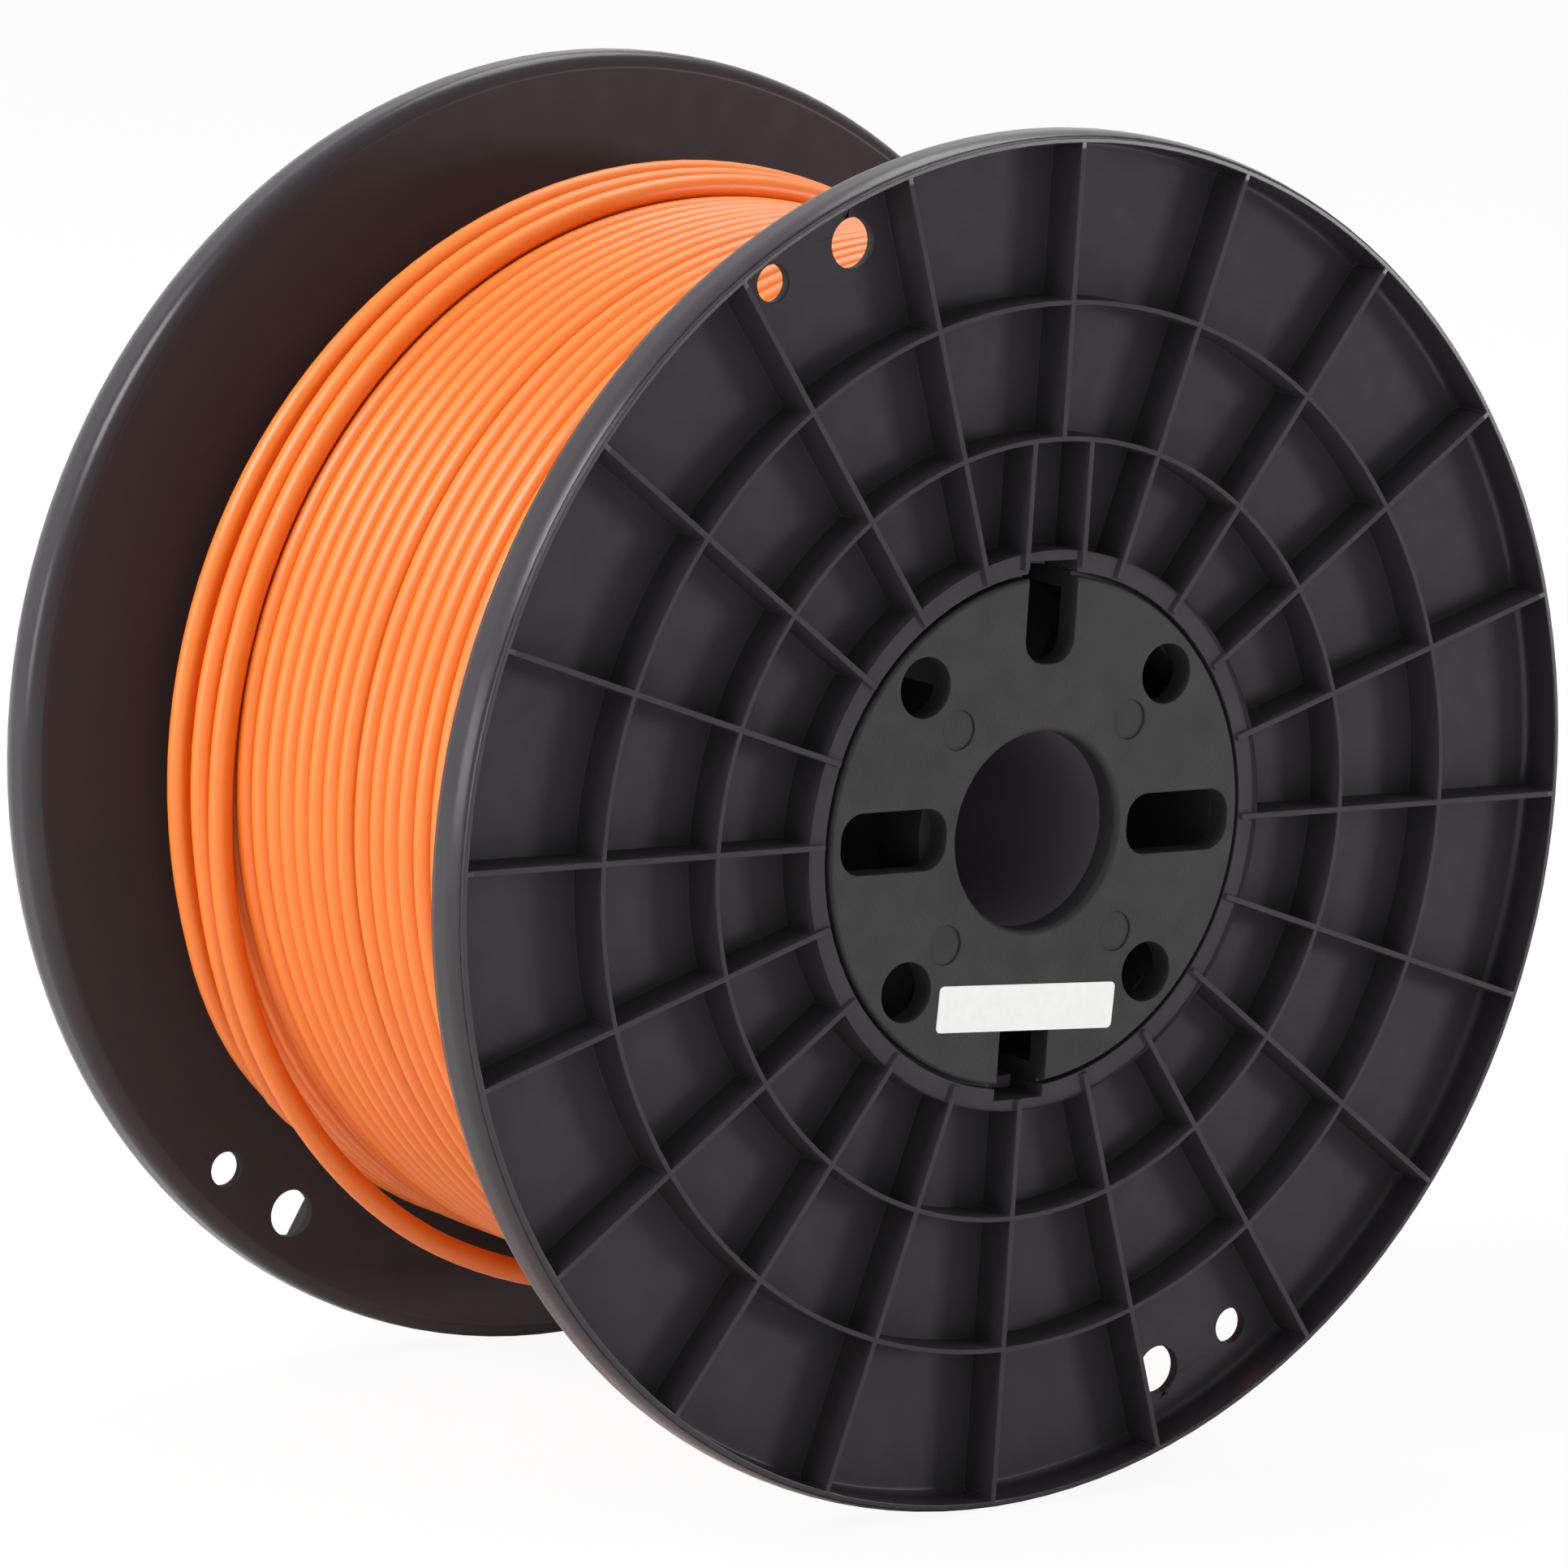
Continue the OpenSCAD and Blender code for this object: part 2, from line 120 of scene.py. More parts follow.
def moulded_plastic(
    name, colour, worn_colour, roughness, shine, grain, grain_depth, polished=None
):
    """Black plastic as it leaves its mould. Grain and its depth are in metres. Polished gives the
    radii between which the skin turns smoother, and the roughness beyond them"""
    material, tree = new_material(name)
    place = add_node(tree, "ShaderNodeTexCoord").outputs["Object"]
    # Cloudy patches a few centimetres wide, where the melt cooled faster or slower
    clouds = add_node(
        tree, "ShaderNodeTexNoise", {"Vector": place, "Scale": CLOUDS_PER_METRE, "Detail": 3}
    )
    tint = add_node(
        tree,
        "ShaderNodeMix",
        {"Factor": clouds.outputs["Fac"], "A": linear(colour), "B": linear(worn_colour)},
        data_type="RGBA",
    )
    # Handling polishes and dulls the skin in spots of about 3 mm
    rubbed = add_node(
        tree, "ShaderNodeTexNoise", {"Vector": place, "Scale": SPOTS_PER_METRE, "Detail": 4}
    )
    gloss = add_node(
        tree,
        "ShaderNodeMapRange",
        {
            "Value": rubbed.outputs["Fac"],
            "From Min": 0.3,
            "From Max": 0.7,
            "To Min": roughness - RUBBED_BY,
            "To Max": roughness + RUBBED_BY,
        },
    ).outputs["Result"]
    if polished:
        smoother_from, smooth_at, smooth_roughness = polished
        axes = add_node(tree, "ShaderNodeSeparateXYZ", {"Vector": place}).outputs
        across = add_node(tree, "ShaderNodeCombineXYZ", {"X": axes["X"], "Y": axes["Z"]})
        radius = add_node(
            tree, "ShaderNodeVectorMath", {0: across.outputs["Vector"]}, operation="LENGTH"
        ).outputs["Value"]
        gloss = add_node(
            tree,
            "ShaderNodeMapRange",
            {
                "Value": radius,
                "From Min": smoother_from,
                "From Max": smooth_at,
                "To Min": gloss,
                "To Max": smooth_roughness,
            },
        ).outputs["Result"]
    pits = add_node(
        tree,
        "ShaderNodeTexNoise",
        {"Vector": place, "Scale": 1 / grain, "Detail": 2, "Roughness": 0.6},
    )
    skin = add_node(
        tree,
        "ShaderNodeBump",
        {"Height": pits.outputs["Fac"], "Strength": 1, "Distance": grain_depth},
    )
    shader = add_node(
        tree,
        "ShaderNodeBsdfPrincipled",
        {
            "Base Color": tint.outputs["Result"],
            "Roughness": gloss,
            "Specular IOR Level": shine,
            "Normal": skin.outputs["Normal"],
            "IOR": 1.5,
        },
    )
    add_node(tree, "ShaderNodeOutputMaterial", {"Surface": shader.outputs["BSDF"]})
    return material


def finish_node(name, material):
    """Shows a CAD node as it is, in this material"""
    for slot in nodes[name].material_slots:
        slot.material = material


# Extruded polystyrene: drawn smooth, so it is even, dark and half glossy
core_plastic = moulded_plastic(
    "extruded_black_polystyrene",
    CORE_BLACK,
    CORE_BLACK_WORN,
    roughness=0.45,
    shine=0.4,
    grain=0.8 * MM,
    grain_depth=0.01 * MM,
)
finish_node("barrel", core_plastic)
finish_node("spindle_tube", core_plastic)


# ------------------------------------------------------------------ hubs
# Two mouldings of black ABS, one in each end. Each is a face plate with a bore, four round holes,
# two slots, two notches and four ejector marks, on a neck that snaps into flange and barrel.

HUB_BLACK = "#2A292B"
HUB_BLACK_WORN = "#313032"
# Spark erosion leaves pits of 0.15 mm. They are drawn twice as wide, so that they show
HUB_GRAIN = 0.32 * MM
HUB_GRAIN_DEPTH = 0.06 * MM
HUB_FACE_Y = 47.3 * MM
HUB_SHARP_ANGLE = 50
# The radius that a mould leaves on edges
EDGE_ROUND = 0.12 * MM
# Points of the CAD mesh are joined up to this distance, and faces up to this angle in degrees
JOIN_DISTANCE = 0.015 * MM
JOIN_ANGLE = 0.8


def on_hub_face(edge):
    """Whether an edge is the mouth of a hole, slot or notch in a hub's outer face"""
    return all(abs(abs(end.co.y) - HUB_FACE_Y) < 0.01 * MM for end in edge.verts)


def any_edge(edge):
    """Every edge may be rounded"""
    return True


def rounded_copy(node_name, material, may_round, sharp_angle, reshape=None):
    """A copy of a CAD node whose sharp edges are rounded, and which may be reshaped first"""
    piece_name = node_name + "_moulding"
    form = bmesh.new()
    form.from_mesh(nodes[node_name].data)
    bmesh.ops.remove_doubles(form, verts=form.verts, dist=JOIN_DISTANCE)
    bmesh.ops.dissolve_limit(
        form, angle_limit=math.radians(JOIN_ANGLE), verts=form.verts, edges=form.edges
    )
    if reshape:
        reshape(form)
    form.normal_update()
    weight = form.edges.layers.float.new("bevel_weight_edge")
    for edge in form.edges:
        sharp = edge.is_manifold and edge.calc_face_angle() > math.radians(sharp_angle)
        edge[weight] = 1 if sharp and may_round(edge) else 0
        edge.smooth = not sharp or may_round(edge)
    mesh = bpy.data.meshes.new(piece_name)
    form.to_mesh(mesh)
    form.free()
    mesh.materials.clear()
    mesh.materials.append(material)
    for face in mesh.polygons:
        face.use_smooth = True
    rough = bpy.data.objects.new("rough_" + piece_name, mesh)
    scene.collection.objects.link(rough)
    bevel = rough.modifiers.new("edges", "BEVEL")
    bevel.width = EDGE_ROUND
    bevel.segments = 2
    bevel.limit_method = "WEIGHT"
    bevel.use_clamp_overlap = False
    # Flat faces keep their own direction, so that only the rounded edges catch the light
    flatten = rough.modifiers.new("flat_faces", "WEIGHTED_NORMAL")
    flatten.mode = "FACE_AREA"
    flatten.weight = 100
    flatten.keep_sharp = True
    return as_piece(rough, piece_name, node_name)


def as_piece(maker, piece_name, replaced):
    """Turns an object with live modifiers into a plain mesh piece that stands for a CAD node"""
    shape = maker.evaluated_get(bpy.context.evaluated_depsgraph_get())
    piece = bpy.data.objects.new(piece_name, bpy.data.meshes.new_from_object(shape))
    bpy.data.objects.remove(maker)
    scene.collection.objects.link(piece)
    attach(piece, "root")
    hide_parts(replaced)
    return piece


# ABS from a spark-eroded mould: an even, dull grain that breaks highlights up into specks
hub_plastic = moulded_plastic(
    "spark_grained_black_abs",
    HUB_BLACK,
    HUB_BLACK_WORN,
    roughness=0.62,
    shine=0.3,
    grain=HUB_GRAIN,
    grain_depth=HUB_GRAIN_DEPTH,
)
for hub in ("front_hub", "rear_hub"):
    rounded_copy(hub, hub_plastic, on_hub_face, HUB_SHARP_ANGLE)


# ------------------------------------------------------------------ flanges
# Two mouldings of black polystyrene with a hollow rounded rim and thin ribs, pressed over the
# necks of the hubs. They come out of a polished mould, with a smoother skin than the hubs.

FLANGE_BLACK = "#322F32"
FLANGE_BLACK_WORN = "#373437"
FLANGE_SHARP_ANGLE = 28
# The skin turns to that of the polished rim between these radii
RIM_POLISH_START = 77.9 * MM
RIM_POLISH_END = 78.2 * MM
RIM_ROUGHNESS = 0.25

# The rim's wall bends from web to rim about this circle. Either face of the wall is drawn with
# the tighter corner of the real rim: radius of the bend, then of its corner
RIM_BEND_R = 74 * MM
RIM_BEND_Y = 47 * MM
RIM_CORNERS = [(6 * MM, 2.2 * MM), (4.7 * MM, 1 * MM)]
# Its outer face is a little crowned: from here outwards it falls off by so much at the rim's end
RIM_R = 80 * MM
RIM_CROWN_Y = 44.9 * MM
RIM_CROWN_CUTS = [level * MM for level in (44.9, 45.4, 45.9, 46.4, 46.8)]
RIM_END_Y = 47.1 * MM
RIM_FALL = 0.5 * MM
# How far points of the CAD mesh may lie off the bend, the rim's face and its crowned part
NEAR_BEND = 0.03 * MM
NEAR_RIM = 0.02 * MM
NEAR_CROWN = 0.06 * MM


def tighten_rim(form):
    """Presses the rim's bend out to its tighter corner, then crowns the rim's outer face"""
    for vert in form.verts:
        point = vert.co
        out = math.hypot(point.x, point.z) - RIM_BEND_R
        up = RIM_BEND_Y - abs(point.y)
        for bend, corner in RIM_CORNERS:
            if min(out, up) > -0.01 * MM and abs(math.hypot(out, up) - bend) < NEAR_BEND:
                over = max(0, out - (bend - corner))
                risen = bend - corner + math.sqrt(max(0, corner**2 - over**2))
                point.y = math.copysign(RIM_BEND_Y - risen, point.y)
                break
    for level in RIM_CROWN_CUTS:
        for side in (-1, 1):
            outer = [
                face
                for face in form.faces
                if all(math.hypot(end.co.x, end.co.z) > RIM_R - NEAR_RIM for end in face.verts)
            ]
            around = {end for face in outer for end in face.verts}
            around |= {edge for face in outer for edge in face.edges}
            bmesh.ops.bisect_plane(
                form,
                geom=outer + list(around),
                plane_co=(0, side * level, 0),
                plane_no=(0, 1, 0),
            )
    for vert in form.verts:
        radius = math.hypot(vert.co.x, vert.co.z)
        past = abs(vert.co.y) - RIM_CROWN_Y
        if radius > RIM_R - NEAR_CROWN and past > 0:
            fallen = 1 - RIM_FALL * (past / (RIM_END_Y - RIM_CROWN_Y)) ** 2 / RIM_R
            vert.co.x *= fallen
            vert.co.z *= fallen


# High-impact polystyrene from a smooth mould: a dull skin on the web and the ribs, and soft
# clear highlights on the polished rim
flange_plastic = moulded_plastic(
    "satin_black_polystyrene",
    FLANGE_BLACK,
    FLANGE_BLACK_WORN,
    roughness=0.74,
    shine=0.33,
    grain=0.9 * MM,
    grain_depth=0.004 * MM,
    polished=(RIM_POLISH_START, RIM_POLISH_END, RIM_ROUGHNESS),
)
for flange in ("front_flange", "rear_flange"):
    rounded_copy(
        flange, flange_plastic, any_edge, FLANGE_SHARP_ANGLE, tighten_rim
    )


# ------------------------------------------------------------------ label
# A blank label of white plastic film, stuck below the bore of the front hub. It keeps its CAD
# shape, a thin sheet with round corners.

LABEL_WHITE = "#F5F5F4"
LABEL_GREY = "#EBEBEA"

# Matt white polypropylene film: bright, flat, with a faint mottle where it lies on the grain
label_film, film_tree = new_material("matt_white_label_film")
film_place = add_node(film_tree, "ShaderNodeTexCoord").outputs["Object"]
film_mottle = add_node(
    film_tree, "ShaderNodeTexNoise", {"Vector": film_place, "Scale": 900, "Detail": 3}
)
film_tint = add_node(
    film_tree,
    "ShaderNodeMix",
    {"Factor": film_mottle.outputs["Fac"], "A": linear(LABEL_WHITE), "B": linear(LABEL_GREY)},
    data_type="RGBA",
)
film_skin = add_node(
    film_tree,
    "ShaderNodeBump",
    {"Height": film_mottle.outputs["Fac"], "Strength": 1, "Distance": 0.02 * MM},
)
film_shader = add_node(
    film_tree,
    "ShaderNodeBsdfPrincipled",
    {
        "Base Color": film_tint.outputs["Result"],
        "Roughness": 0.55,
        "Normal": film_skin.outputs["Normal"],
        "IOR": 1.49,
    },
)
add_node(film_tree, "ShaderNodeOutputMaterial", {"Surface": film_shader.outputs["BSDF"]})
finish_node("label", label_film)


# ------------------------------------------------------------------ wound layers
# Orange ABS filament, 2.85 mm thick, wound from end to end in layers. Eleven layers are buried
# and keep their CAD sleeves. The outer two are drawn as the strand that they are.

STRAND_D = 2.85 * MM
TURN_PITCH = 3.085 * MM
FIRST_TURN_Y = -39.205 * MM
OUTER_LAYER_R = 63.593 * MM
LAYER_PITCH = 2.466 * MM
BURIED_LAYERS = 11

FILAMENT_ORANGE = "#EE771C"
FILAMENT_ORANGE_PALE = "#F18024"

# Extruded ABS: opaque, saturated orange. The die draws faint lines along the strand, and its
# smooth skin gives each turn one long soft highlight
filament_abs, abs_tree = new_material("extruded_orange_abs")
abs_place = add_node(abs_tree, "ShaderNodeTexCoord").outputs["Object"]
abs_clouds = add_node(
    abs_tree, "ShaderNodeTexNoise", {"Vector": abs_place, "Scale": 60, "Detail": 2}
)
abs_tint = add_node(
    abs_tree,
    "ShaderNodeMix",
    {
        "Factor": abs_clouds.outputs["Fac"],
        "A": linear(FILAMENT_ORANGE),
        "B": linear(FILAMENT_ORANGE_PALE),
    },
    data_type="RGBA",
)
abs_around = add_node(
    abs_tree, "ShaderNodeAttribute", attribute_type="GEOMETRY", attribute_name="strand_around"
)
abs_along = add_node(
    abs_tree, "ShaderNodeAttribute", attribute_type="GEOMETRY", attribute_name="strand_along"
)
# Die lines stand 0.5 mm apart round the strand and run on for 40 mm and more
abs_die = add_node(
    abs_tree,
    "ShaderNodeCombineXYZ",
    {"X": abs_around.outputs["Fac"], "Y": abs_along.outputs["Fac"]},
)
abs_die_scaled = add_node(
    abs_tree,
    "ShaderNodeMapping",
    {"Vector": abs_die.outputs["Vector"], "Scale": (18, 25, 1)},
)
abs_die_lines = add_node(
    abs_tree,
    "ShaderNodeTexNoise",
    {"Vector": abs_die_scaled.outputs["Vector"], "Scale": 1, "Detail": 1},
)
abs_gloss = add_node(
    abs_tree,
    "ShaderNodeMapRange",
    {
        "Value": abs_die_lines.outputs["Fac"],
        "From Min": 0.3,
        "From Max": 0.7,
        "To Min": 0.36,
        "To Max": 0.46,
    },
)
abs_skin = add_node(
    abs_tree,
    "ShaderNodeBump",
    {"Height": abs_die_lines.outputs["Fac"], "Strength": 1, "Distance": 0.02 * MM},
)
abs_shader = add_node(
    abs_tree,
    "ShaderNodeBsdfPrincipled",
    {
        "Base Color": abs_tint.outputs["Result"],
        "Roughness": abs_gloss.outputs["Result"],
        "Specular IOR Level": 0.65,
        "Normal": abs_skin.outputs["Normal"],
        "IOR": 1.53,
    },
)
add_node(abs_tree, "ShaderNodeOutputMaterial", {"Surface": abs_shader.outputs["BSDF"]})

for number in range(1, BURIED_LAYERS + 1):
    finish_node(f"winding_layer_{number:02d}", filament_abs)


def new_geometry_tree(name, inputs):
    """An empty Geometry Nodes tree with named inputs, and its input node"""
    tree = bpy.data.node_groups.new(name, "GeometryNodeTree")
    for label, kind in inputs.items():
        tree.interface.new_socket(label, in_out="INPUT", socket_type="NodeSocket" + kind)
    tree.interface.new_socket("Geometry", in_out="OUTPUT", socket_type="NodeSocketGeometry")
    return tree, tree.nodes.new("NodeGroupInput").outputs


def add_strand(tree, path, given):
    """Sweeps the strand's round section along a path, and ends the tree with its finish"""
    length = add_node(tree, "GeometryNodeSplineParameter")
    marked_path = add_node(
        tree,
        "GeometryNodeStoreNamedAttribute",
        {"Geometry": path, "Name": "strand_along", "Value": length.outputs["Length"]},
        data_type="FLOAT",
        domain="POINT",
    )
    radius = add_node(
        tree, "ShaderNodeMath", {0: given["Strand diameter"], 1: 0.5}, operation="MULTIPLY"
    )
    circle = add_node(
        tree,
        "GeometryNodeCurvePrimitiveCircle",
        {"Resolution": given["Sides"], "Radius": radius.outputs[0]},
    )
    turn = add_node(tree, "GeometryNodeSplineParameter")
    # A triangle wave, so that the value meets itself where the circle closes
    folded = add_node(
        tree, "ShaderNodeMath", {0: turn.outputs["Factor"], 1: 0.5}, operation="PINGPONG"
    )
    marked_circle = add_node(
        tree,
        "GeometryNodeStoreNamedAttribute",
        {
            "Geometry": circle.outputs["Curve"],
            "Name": "strand_around",
            "Value": folded.outputs[0],
        },
        data_type="FLOAT",
        domain="POINT",
    )
    tube = add_node(
        tree,
        "GeometryNodeCurveToMesh",
        {
            "Curve": marked_path.outputs["Geometry"],
            "Profile Curve": marked_circle.outputs["Geometry"],
            "Fill Caps": True,
        },
    )
    real = add_node(tree, "GeometryNodeRealizeInstances", {"Geometry": tube.outputs["Mesh"]})
    smooth = add_node(
        tree, "GeometryNodeSetShadeSmooth", {"Geometry": real.outputs["Geometry"]}
    )
    coloured = add_node(
        tree,
        "GeometryNodeSetMaterial",
        {"Geometry": smooth.outputs["Geometry"], "Material": given["Material"]},
    )
    add_node(tree, "NodeGroupOutput", {"Geometry": coloured.outputs["Geometry"]})


# Where along the outer layer, and by what share of its unevenness, turns lie further back
UNEVEN_TURNS = [
    (0, 0.2), (0.22, 0.25), (0.267, 0.39), (0.313, 0.71), (0.358, 0.79), (0.403, 0.5),
    (0.449, 0.21), (0.494, 0.21), (0.54, 0.97), (0.585, 0.93), (0.631, 0.76), (0.676, 0.5),
    (0.722, 0.21), (0.767, 0), (0.813, 0.11), (0.858, 0.43), (0.93, 0.2), (1, 0),
]
# Over this share of a turn a layer's strand comes up from the layer below
CLIMB_TURNS = 0.08


def wind_layer_tree():
    """Geometry Nodes: one layer of filament, wound as a screw line whose turns drift a little"""
    tree, given = new_geometry_tree(
        "wound layer",
        {
            "Radius": "Float",
            "First turn": "Float",
            "Pitch": "Float",
            "Turns": "Float",
            "Start angle": "Float",
            "Drift": "Float",
            "Unevenness": "Float",
            "Climb": "Float",
            "Points per turn": "Int",
            "Strand diameter": "Float",
            "Sides": "Int",
            "Material": "Material",
        },
    )
    line = add_node(tree, "GeometryNodeCurvePrimitiveLine", {"End": (1, 0, 0)})
    count = add_node(
        tree,
        "ShaderNodeMath",
        {0: given["Turns"], 1: given["Points per turn"], 2: 1},
        operation="MULTIPLY_ADD",
    )
    points = add_node(
        tree,
        "GeometryNodeResampleCurve",
        {"Curve": line.outputs["Curve"], "Count": count.outputs[0]},
        mode="COUNT",
    )
    share = add_node(tree, "GeometryNodeSplineParameter").outputs["Factor"]
    turn = add_node(tree, "ShaderNodeMath", {0: share, 1: given["Turns"]}, operation="MULTIPLY")
    angle = add_node(
        tree,
        "ShaderNodeMath",
        {0: turn.outputs[0], 1: math.tau, 2: given["Start angle"]},
        operation="MULTIPLY_ADD",
    )
    cosine = add_node(tree, "ShaderNodeMath", {0: angle.outputs[0]}, operation="COSINE")
    sine = add_node(tree, "ShaderNodeMath", {0: angle.outputs[0]}, operation="SINE")
    # The wander of a turn against its neighbours, which changes slowly round the spool
    round_trip = add_node(
        tree,
        "ShaderNodeCombineXYZ",
        {"X": cosine.outputs[0], "Y": turn.outputs[0], "Z": sine.outputs[0]},
    )
    wander = add_node(
        tree,
        "ShaderNodeTexNoise",
        {"Vector": round_trip.outputs["Vector"], "Scale": 0.6, "Detail": 1},
    )
    shift = add_node(
        tree,
        "ShaderNodeMapRange",
        {
            "Value": wander.outputs["Fac"],
            "From Min": 0.25,
            "From Max": 0.75,
            "To Min": -1,
            "To Max": 1,
        },
    )
    # Turns that lie back from their even place, by their share of the way along the layer
    uneven = add_node(tree, "ShaderNodeFloatCurve", {"Value": share})
    curve = uneven.mapping.curves[0]
    curve.points[0].location = UNEVEN_TURNS[0]
    curve.points[1].location = UNEVEN_TURNS[-1]
    for point in UNEVEN_TURNS[1:-1]:
        curve.points.new(*point)
    uneven.mapping.update()
    back = add_node(
        tree,
        "ShaderNodeMath",
        {0: uneven.outputs["Value"], 1: given["Unevenness"], 2: given["First turn"]},
        operation="MULTIPLY_ADD",
    )
    evenly = add_node(
        tree,
        "ShaderNodeMath",
        {0: turn.outputs[0], 1: given["Pitch"], 2: back.outputs[0]},
        operation="MULTIPLY_ADD",
    )
    along = add_node(
        tree,
        "ShaderNodeMath",
        {0: shift.outputs["Result"], 1: given["Drift"], 2: evenly.outputs[0]},
        operation="MULTIPLY_ADD",
    )
    # The strand's way up from the layer below
    below = add_node(
        tree,
        "ShaderNodeMapRange",
        {
            "Value": turn.outputs[0],
            "From Min": 0,
            "From Max": CLIMB_TURNS,
            "To Min": 1,
            "To Max": 0,
        },
        interpolation_type="SMOOTHSTEP",
    )
    sunk = add_node(
        tree,
        "ShaderNodeMath",
        {0: below.outputs["Result"], 1: given["Climb"]},
        operation="MULTIPLY",
    )
    reach = add_node(
        tree, "ShaderNodeMath", {0: given["Radius"], 1: sunk.outputs[0]}, operation="SUBTRACT"
    )
    across = add_node(
        tree, "ShaderNodeMath", {0: cosine.outputs[0], 1: reach.outputs[0]}, operation="MULTIPLY"
    )
    up = add_node(
        tree, "ShaderNodeMath", {0: sine.outputs[0], 1: reach.outputs[0]}, operation="MULTIPLY"
    )
    place = add_node(
        tree,
        "ShaderNodeCombineXYZ",
        {"X": across.outputs[0], "Y": along.outputs[0], "Z": up.outputs[0]},
    )
    path = add_node(
        tree,
        "GeometryNodeSetPosition",
        {"Geometry": points.outputs["Curve"], "Position": place.outputs["Vector"]},
    )
    add_strand(tree, path.outputs["Geometry"], given)
    return tree


def made_by(tree, mesh, values):
    """An object whose Geometry Nodes modifier runs this tree with these named values"""
    maker = bpy.data.objects.new("maker", mesh)
    scene.collection.objects.link(maker)
    modifier = maker.modifiers.new("make", "NODES")
    modifier.node_group = tree
    for item in tree.interface.items_tree:
        if item.in_out == "INPUT" and item.name in values:
            modifier[item.identifier] = values[item.name]
    return maker


layer_tree = wind_layer_tree()
wound_layers = {
    "winding_layer_12": {
        "Radius": OUTER_LAYER_R - LAYER_PITCH,
        "First turn": FIRST_TURN_Y + TURN_PITCH / 2,
        "Turns": 25,
        "Start angle": math.radians(40),
        "Drift": 0.05 * MM,
        "Unevenness": 0.0,
        "Climb": 0.0,
        "Points per turn": 96,
        "Sides": 8,
    },
    "winding_layer_13": {
        "Radius": OUTER_LAYER_R,
        "First turn": FIRST_TURN_Y + 0.25 * MM,
        "Turns": 22,
        "Start angle": math.radians(-135),
        "Drift": 0.08 * MM,
        "Unevenness": 0.7 * MM,
        # From just inside the turns below
        "Climb": LAYER_PITCH + 0.4 * MM,
        "Points per turn": 160,
        "Sides": 14,
    },
}
for node_name, values in wound_layers.items():
    values.update(
        {"Pitch": TURN_PITCH, "Strand diameter": STRAND_D, "Material": filament_abs}
    )
    maker = made_by(layer_tree, bpy.data.meshes.new("empty"), values)
    as_piece(maker, node_name + "_strand", node_name)


# ------------------------------------------------------------------ turns on top
# The last three turns of the same strand lie loosely on the winding. Low on the left the first
# of them stands off it, and the other two drop off the layer's rear edge.

LAST_TURN_Y = 28.665 * MM
# Angle from +X towards +Z in degrees, then height above the last layer's turns and place behind
# its last turn, in mm. The route starts where the last layer ends
TOP_ROUTE = [
    (-135, 0, 0.25),
    (-120, 0, 0.25),
    (-108, 0, 0.25),
    (-100, 0.6, 0.2),
    (-92, 1.8, 0),
    (-84, 2.8, -0.45),
    (-75, 2.95, -0.95),
    (-50, 3, -2.05),
    (-20, 3, -3.75),
    (10, 3, -5.75),
    (40, 2.9, -7.35),
    (60, 2.5, -7.75),
    (120, 2.5, -7.8),
    (165, 2.6, -7.8),
    (182, 2.85, -7.75),
    (192, 3.4, -7.7),
    (200, 3.95, -7.7),
    (210, 4.6, -7.7),
    (220, 4.9, -7.7),
    (230, 5.1, -7.7),
    (240, 5.1, -7.7),
    (250, 4.7, -7.7),
    (262, 4.3, -7.7),
    (285, 4.3, -7.5),
    (305, 5, -7.15),
    (325, 5.6, -6.55),
    (345, 5.9, -5.85),
    (360, 5.95, -5.35),
    (375, 5.8, -4.95),
    (395, 4.6, -4.65),
    (415, 3.3, -4.6),
    (435, 2.9, -4.6),
    (500, 3, -4.6),
    (535, 3.3, -4.55),
    (552, 3.4, -4.45),
    (562, 3.5, -3.6),
    (572, 3.4, -1.7),
    (580, 2.9, 0.6),
    (586, 1.6, 2.4),
    (591, 0.4, 3.05),
    (598, 0, 3.09),
    (618, 0, 3.09),
    (626, 0.9, 2.95),
    (634, 2.3, 2.55),
    (642, 2.95, 2.1),
    (650, 3, 1.85),
    (665, 3, 1.25),
    (685, 3, 0.15),
    (700, 3, -0.75),
    (720, 3.1, -1.55),
    (740, 3.3, -1.75),
    (765, 3.4, -1.55),
    (790, 3.4, -1.55),
    (820, 3.4, -1.15),
    (850, 3.3, -0.45),
    (880, 3.3, 0.25),
    (905, 3.3, 0.65),
    (918, 3.2, 1.3),
    (926, 3.1, 2.2),
    (934, 2.5, 3.6),
    (941, 1.5, 4.9),
    (948, 0.5, 5.8),
    (955, 0.05, 6.15),
    (964, 0, 6.17),
    (974, 0, 6.17),
    (985, 0.3, 5.3),
    (992, 0.4, 4.4),
    (1000, 0.15, 3.25),
]
POINT_EVERY = 3


def spline(a, b, c, d, t):
    """The smooth curve from b to c, where t goes from 0 to 1"""
    return 0.5 * (
        2 * b
        + (c - a) * t
        + (2 * a - 5 * b + 4 * c - d) * t**2
        + (3 * b - a - 3 * c + d) * t**3
    )


def route_points(route):
    """Points in metres along a route, one every few degrees"""
    stations = [Vector(station) for station in route]
    last = len(stations) - 1
    points = []
    for i in range(last):
        around = [stations[max(0, min(last, i + k))] for k in (-1, 0, 1, 2)]
        steps = max(2, math.ceil((around[2][0] - around[1][0]) / POINT_EVERY))
        points += [spline(*around, step / steps) for step in range(steps)]
    points.append(stations[last])
    return [
        Vector(
            (
                distance * math.cos(math.radians(angle)),
                along,
                distance * math.sin(math.radians(angle)),
            )
        )
        * MM
        for angle, distance, along in points
    ]


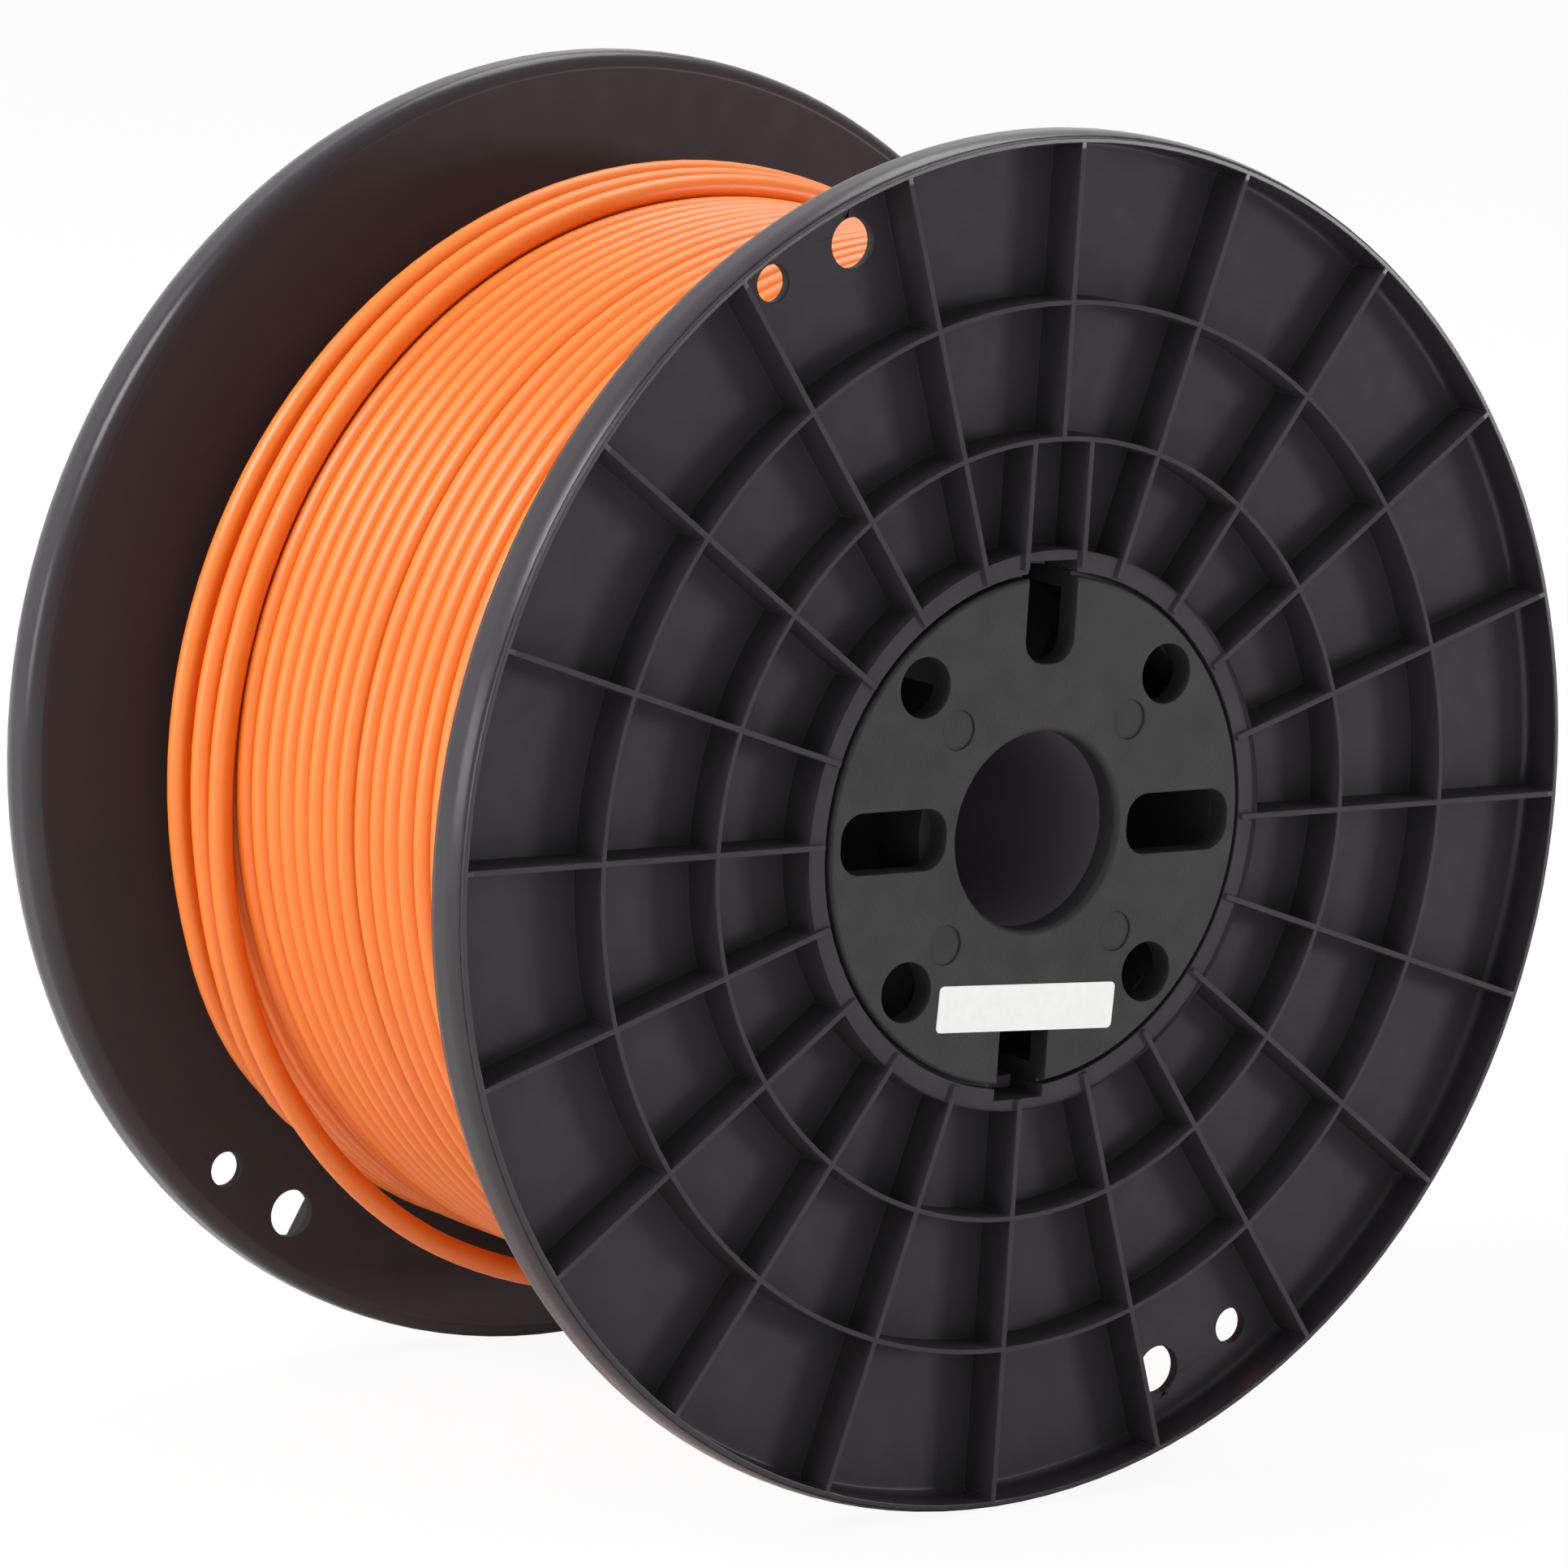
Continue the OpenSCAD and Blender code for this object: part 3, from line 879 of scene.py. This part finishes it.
def follow_path_tree():
    """Geometry Nodes: the strand, swept along the edges of the mesh that comes in"""
    tree, given = new_geometry_tree(
        "strand along a path",
        {
            "Path": "Geometry",
            "Strand diameter": "Float",
            "Sides": "Int",
            "Material": "Material",
        },
    )
    path = add_node(tree, "GeometryNodeMeshToCurve", {"Mesh": given["Path"]})
    add_strand(tree, path.outputs["Curve"], given)
    return tree


path_tree = follow_path_tree()


def strand_along(points, piece_name, replaced):
    """A piece of strand along these points, which stands for a CAD node"""
    path = bpy.data.meshes.new("path")
    path.from_pydata(points, [(i, i + 1) for i in range(len(points) - 1)], [])
    values = {"Strand diameter": STRAND_D, "Sides": 20, "Material": filament_abs}
    return as_piece(made_by(path_tree, path, values), piece_name, replaced)


top_route = [
    (angle, OUTER_LAYER_R / MM + height, LAST_TURN_Y / MM + behind)
    for angle, height, behind in TOP_ROUTE
]
strand_along(route_points(top_route), "top_turns_strand", "winding_top_turns")


# ------------------------------------------------------------------ loose end
# The end of the strand. It leaves the winding under the spool, springs outwards, and is pushed
# through the small parking hole of the rear flange, which grips it.

# Angle from +X towards +Z in degrees, distance from the axis and place along the spindle in mm
LOOSE_ROUTE = [
    (292, 64, 31.95),
    (305, 64.7, 32),
    (320, 66.1, 32.1),
    (336, 68, 32.2),
    (352, 69.9, 32.3),
    (366, 71.4, 32.4),
    (377, 72.4, 32.45),
    (387, 73.15, 32.4),
    (393, 73.5, 32.35),
    (397.2, 73.65, 32.5),
    (400.2, 73.7, 33.05),
    (403, 73.7, 34.6),
    (405.15, 73.7, 36.95),
    (406.85, 73.7, 40),
    (407.85, 73.7, 42.4),
    (408.9, 73.7, 45),
]
winding_end = (top_route[-1][0] - 2 * 360, *top_route[-1][1:])
loose_points = route_points([winding_end] + LOOSE_ROUTE)
loose_end = strand_along(loose_points, "loose_end_strand", "loose_end")


# ------------------------------------------------------------------ floor and light
# A plain white floor under the rims, and an even, pale studio. A soft lamp from the right throws
# the ribs' shadows. Two from the left, behind the front face, draw the turns and the rims, and
# one from above lights their tops.

FLOOR_WHITE = "#EDEDED"
FLOOR_GLOW = 0.93
ROOM_LIGHT = 0.56
# Half the floor's width in metres
FLOOR_HALF = 4

floor_mesh = bpy.data.meshes.new("floor")
floor_mesh.from_pydata(
    [
        (x * FLOOR_HALF, y * FLOOR_HALF, cad_low.z)
        for x, y in ((-1, -1), (1, -1), (1, 1), (-1, 1))
    ],
    [],
    [(0, 1, 2, 3)],
)
floor = bpy.data.objects.new("floor", floor_mesh)
scene.collection.objects.link(floor)

# White paper: the camera sees most of it at full white, and the rest keeps the spool's shadow
paper, paper_tree = new_material("white_paper_floor")
paper_matt = add_node(
    paper_tree, "ShaderNodeBsdfDiffuse", {"Color": linear(FLOOR_WHITE), "Roughness": 0.5}
)
paper_white = add_node(paper_tree, "ShaderNodeEmission", {"Color": (1, 1, 1, 1), "Strength": 1})
paper_ray = add_node(paper_tree, "ShaderNodeLightPath")
paper_share = add_node(
    paper_tree,
    "ShaderNodeMath",
    {0: paper_ray.outputs["Is Camera Ray"], 1: FLOOR_GLOW},
    operation="MULTIPLY",
)
paper_mix = add_node(
    paper_tree,
    "ShaderNodeMixShader",
    {0: paper_share.outputs[0], 1: paper_matt.outputs["BSDF"], 2: paper_white.outputs["Emission"]},
)
add_node(paper_tree, "ShaderNodeOutputMaterial", {"Surface": paper_mix.outputs["Shader"]})
floor_mesh.materials.append(paper)

world = bpy.data.worlds.new("studio")
world.use_nodes = True
world_tree = world.node_tree
world_tree.nodes.clear()
world_ray = add_node(world_tree, "ShaderNodeLightPath")
world_way = add_node(world_tree, "ShaderNodeTexCoord")
world_axes = add_node(
    world_tree, "ShaderNodeSeparateXYZ", {"Vector": world_way.outputs["Generated"]}
)
# In reflections the wall behind the spool is white, and the studio on the camera's side is dim
world_mirrored = add_node(
    world_tree,
    "ShaderNodeMapRange",
    {
        "Value": world_axes.outputs["Y"],
        "From Min": -0.3,
        "From Max": 0.6,
        "To Min": 0.3,
        "To Max": 1,
    },
)
world_strength = add_node(
    world_tree,
    "ShaderNodeMix",
    {
        "Factor": world_ray.outputs["Is Glossy Ray"],
        "A": ROOM_LIGHT,
        "B": world_mirrored.outputs["Result"],
    },
)
world_seen = add_node(
    world_tree,
    "ShaderNodeMath",
    {0: world_ray.outputs["Is Camera Ray"], 1: world_strength.outputs["Result"]},
    operation="MAXIMUM",
)
world_light = add_node(
    world_tree,
    "ShaderNodeBackground",
    {"Color": (1, 1, 1, 1), "Strength": world_seen.outputs[0]},
)
add_node(world_tree, "ShaderNodeOutputWorld", {"Surface": world_light.outputs["Background"]})
scene.world = world


def add_lamp(name, place, width, power):
    """A soft square lamp of this width in metres and power in watts, turned to the spool"""
    lamp_data = bpy.data.lights.new(name, "AREA")
    lamp_data.shape = "SQUARE"
    lamp_data.size = width
    lamp_data.energy = power
    lamp = bpy.data.objects.new(name, lamp_data)
    lamp.location = place
    lamp.rotation_euler = (-Vector(place)).to_track_quat("-Z", "Y").to_euler()
    scene.collection.objects.link(lamp)


add_lamp("lamp_right", (0.98, -1.0, 0.02), width=0.33, power=7.5)
add_lamp("lamp_left", (-1.3, 0.5, 0), width=0.6, power=5.5)
add_lamp("lamp_high_left", (-1.1, 0.05, 0.93), width=0.65, power=14.5)
add_lamp("lamp_top", (0.5, 0.4, 1.2), width=0.7, power=6)

scene.view_settings.view_transform = "Standard"
